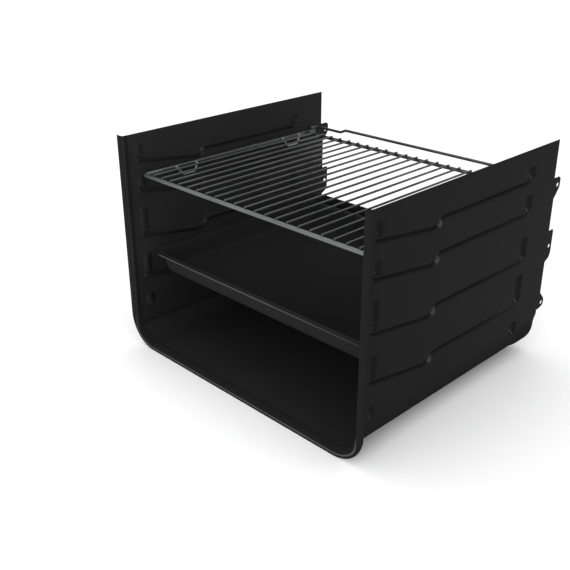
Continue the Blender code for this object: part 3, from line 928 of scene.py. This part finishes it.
def build_frame_wires(context):
    """The frame wire with its butt weld, the rear cross wire and the raised stop wire."""
    rack = context.scene.grill_rack
    steel = wire_finish("drawn_wire")
    route = frame_route()
    wire = grow_wire("rack_frame", route, FRAME_R, [rack.bend, rack.bend], rack.sides)
    left, z = route[0][0], route[0][2]
    butt = (FRAME_R + 0.0004, 0.0045, FRAME_R + 0.0004)
    bead = nugget((left, FRONT_Y + 0.222, z + 0.0006), butt)
    join(wire, [bead])
    # Painted light: the frame wire is painted 1.8 times lighter toward the front.
    dress(wire, wire_finish("frame_wire", 1.8), "rack", "rack_wire", "rack_frame_wire")

    cross_r = (CROSS_HIGH.z - CROSS_LOW.z) / 2
    middle = (CROSS_LOW + CROSS_HIGH) / 2
    ends = [(CROSS_LOW.x - 0.0008, middle.y, middle.z), (CROSS_HIGH.x + 0.0008, middle.y, middle.z)]
    cross = grow_wire("rack_cross_wire", ends, cross_r, [], rack.sides)
    beads = [nugget((sign * (CROSS_HIGH.x - 0.0002), middle.y, middle.z),
                    (0.0016, cross_r + 0.0006, cross_r * 0.9)) for sign in (-1, 1)]
    join(cross, beads)
    dress(cross, steel, "rack", "rack_wire", "rack_rear_crosswire")

    stop_r = 0.002
    low = STOP_LOW.z + stop_r
    high = STOP_HIGH.z - stop_r
    back = STOP_HIGH.y - stop_r
    step = back - 0.00185
    x = STOP_HIGH.x - stop_r
    half = [(-x, STOP_LOW.y, low), (-x, step, low), (-STOP_JOG[0], step, low), (-STOP_JOG[1], back, high)]
    route = half + [(-px, py, pz) for px, py, pz in reversed(half)]
    stop = grow_wire("rack_stop", route, stop_r, [0.005] * 6, rack.sides)
    beads = [nugget((sign * x, STOP_LOW.y + 0.0045, low - stop_r), (0.0017, 0.0040, 0.0012))
             for sign in (-1, 1)]
    join(stop, beads)
    dress(stop, steel, "rack", "rack_wire", "rack_stop_wire")


def build_bars(context):
    """One bar with its welds, then a copy at each of the other places."""
    rack = context.scene.grill_rack
    steel = bpy.data.materials["drawn_wire"]
    low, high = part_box(BAR_NAMES[0])
    radius = (high.z - low.z) / 2
    x, z = (low.x + high.x) / 2, (low.z + high.z) / 2
    front_wire = FRAME_LOW.y + FRAME_R
    rear_wire = (CROSS_LOW.y + CROSS_HIGH.y) / 2
    drop = 0.0008
    route = [(x, front_wire + 0.0006, z - drop), (x, rear_wire + 0.0009, z - drop)]
    bar = grow_wire("bar", route, radius, [], 14)
    beads = [nugget((x, y, z - radius - drop), (radius * 1.05, rack.weld, 0.0006))
             for y in (front_wire + 0.0012, rear_wire)]
    join(bar, beads)
    for name in BAR_NAMES:
        place_x = (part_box(name)[0].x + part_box(name)[1].x) / 2
        copy = bar.copy()
        copy.data = bar.data.copy()
        copy.name = name.replace("rack_bar", "rack_rod")
        bpy.context.scene.collection.objects.link(copy)
        copy.data.transform(Matrix.Translation((place_x - x, 0.0, 0.0)))
        dress(copy, steel, "rack", "rack_wire", name)
    bpy.data.objects.remove(bar, do_unlink=True)


def build_guides(context):
    """The four trapezoid wires under the side wires."""
    rack = context.scene.grill_rack
    # Painted light: the guide wires are painted 2.6 times lighter along their whole length.
    steel = wire_finish("guide_wire", 2.6, 4.0)
    for name in GUIDE_NAMES:
        low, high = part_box(name)
        radius = (high.x - low.x) / 2
        x = (low.x + high.x) / 2
        z = low.z + radius
        depths = GUIDE_FRONT if "front" in name else GUIDE_REAR
        top = FRAME_LOW.z + FRAME_R
        heights = (top, z, z, top)
        route = [(x, FRONT_Y + depth, height) for depth, height in zip(depths, heights)]
        guide = grow_wire(name.replace("rack_guide", "rack_loop"), route, radius,
                          [rack.guide_bend, rack.guide_bend], 14)
        side = 1 if x > 0 else -1
        beads = [nugget((x + side * radius, y, top + 0.0004), (0.0011, 0.0028, 0.0016))
                 for y in (low.y + 0.0025, high.y - 0.0025)]
        join(guide, beads)
        dress(guide, steel, "rack", "rack_wire", name)


# ---- the studio --------------------------------------------------------------------------------
def add_light(name, power, size, at, aim):
    """A soft rectangular light, turned to what it is aimed at."""
    light = bpy.data.lights.new(name, 'AREA')
    light.shape = 'RECTANGLE'
    light.size, light.size_y = size
    light.energy = power
    lamp = bpy.data.objects.new(name, light)
    lamp.location = at
    lamp.rotation_euler = (Vector(aim) - Vector(at)).to_track_quat('-Z', 'Y').to_euler()
    bpy.context.scene.collection.objects.link(lamp)
    return lamp


def build_stage(context):
    """A pale floor, a pale surround, soft lights and the camera."""
    stage = context.scene.grill_stage
    floor = new_piece("floor", bpy.ops.mesh.primitive_circle_add, vertices=96, radius=9.0,
                      fill_type='NGON', location=(0.0, 0.0, 0.0))
    settle(floor)
    paper = Finish("floor_paper")
    fibre = paper.noise(40.0, 3.0)
    tone = paper.blend(fibre, shade(stage.floor, 0.985), shade(stage.floor, 1.0))
    floor.data.materials.append(paper.set(Base_Color=tone, Roughness=0.9, Specular_IOR_Level=0.1))

    world = bpy.data.worlds.new("studio")
    world.use_nodes = True
    world.node_tree.nodes["Background"].inputs["Color"].default_value = (1.0, 1.0, 1.0, 1.0)
    world.node_tree.nodes["Background"].inputs["Strength"].default_value = SURROUND_STRENGTH
    context.scene.world = world
    add_light("overhead", stage.key, (2.2, 2.2), (-0.2, 0.1, 2.2), (0.0, 0.0, 0.1))
    add_light("right", stage.fill, (1.0, 1.0), (0.75, -1.6, 0.85), (-0.2, 0.0, 0.18))
    add_light("front", stage.front, (1.4, 0.8), (0.1, -1.7, 0.5), (0.0, 0.0, 0.12))

    lens = bpy.data.cameras.new("camera")
    lens.lens = stage.lens
    lens.sensor_width = 36.0
    lens.shift_x, lens.shift_y = LENS_SHIFT
    lens.clip_start = 0.05
    camera = bpy.data.objects.new("camera", lens)
    camera.location = stage.camera_at
    camera.rotation_euler = stage.camera_turn
    context.scene.collection.objects.link(camera)
    context.scene.camera = camera
    context.scene.view_settings.view_transform = 'Standard'


# ---- operators and panel -----------------------------------------------------------------------
class GRILL_OT_liner(bpy.types.Operator):
    """Press the liner from one sheet"""
    bl_idname = "grill.liner"
    bl_label = "Liner"

    def execute(self, context):
        build_liner(context)
        return {'FINISHED'}


class GRILL_OT_rear_wall(bpy.types.Operator):
    """Make the low rear wall"""
    bl_idname = "grill.rear_wall"
    bl_label = "Rear wall"

    def execute(self, context):
        build_rear_wall(context)
        return {'FINISHED'}


class GRILL_OT_tray(bpy.types.Operator):
    """Make the drip tray"""
    bl_idname = "grill.tray"
    bl_label = "Drip tray"

    def execute(self, context):
        build_tray(context)
        return {'FINISHED'}


class GRILL_OT_frame_wires(bpy.types.Operator):
    """Make the rack's frame, rear cross wire and stop wire"""
    bl_idname = "grill.frame_wires"
    bl_label = "Rack frame wires"

    def execute(self, context):
        build_frame_wires(context)
        return {'FINISHED'}


class GRILL_OT_bars(bpy.types.Operator):
    """Make the rack's bars with their welds"""
    bl_idname = "grill.bars"
    bl_label = "Rack bars"

    def execute(self, context):
        build_bars(context)
        return {'FINISHED'}


class GRILL_OT_guides(bpy.types.Operator):
    """Make the rack's guide wires"""
    bl_idname = "grill.guides"
    bl_label = "Rack guides"

    def execute(self, context):
        build_guides(context)
        return {'FINISHED'}


class GRILL_OT_stage(bpy.types.Operator):
    """Set up the floor, lights and camera"""
    bl_idname = "grill.stage"
    bl_label = "Stage"

    def execute(self, context):
        build_stage(context)
        return {'FINISHED'}


OPERATORS = (GRILL_OT_liner, GRILL_OT_rear_wall, GRILL_OT_tray, GRILL_OT_frame_wires,
             GRILL_OT_bars, GRILL_OT_guides, GRILL_OT_stage)
SETTINGS = (("grill_liner", LinerSettings), ("grill_tray", TraySettings),
            ("grill_rack", RackSettings), ("grill_finish", FinishSettings),
            ("grill_stage", StageSettings))


class GRILL_PT_panel(bpy.types.Panel):
    """Lists the pieces and their settings"""
    bl_label = "Grill liner"
    bl_space_type = 'VIEW_3D'
    bl_region_type = 'UI'
    bl_category = "Grill liner"

    def draw(self, context):
        for operator in OPERATORS:
            self.layout.operator(operator.bl_idname)
        for name, group in SETTINGS:
            box = self.layout.box()
            for key in group.__annotations__:
                box.prop(getattr(context.scene, name), key)


def register():
    for name, group in SETTINGS:
        bpy.utils.register_class(group)
        setattr(bpy.types.Scene, name, PointerProperty(type=group))
    for item in (*OPERATORS, GRILL_PT_panel):
        bpy.utils.register_class(item)


def unregister():
    for item in reversed((*OPERATORS, GRILL_PT_panel)):
        bpy.utils.unregister_class(item)
    for name, group in reversed(SETTINGS):
        delattr(bpy.types.Scene, name)
        bpy.utils.unregister_class(group)


def main():
    register()
    bpy.ops.grill.liner()
    bpy.ops.grill.rear_wall()
    bpy.ops.grill.tray()
    bpy.ops.grill.frame_wires()
    bpy.ops.grill.bars()
    bpy.ops.grill.guides()
    bpy.ops.grill.stage()


if __name__ == "__main__":
    main()
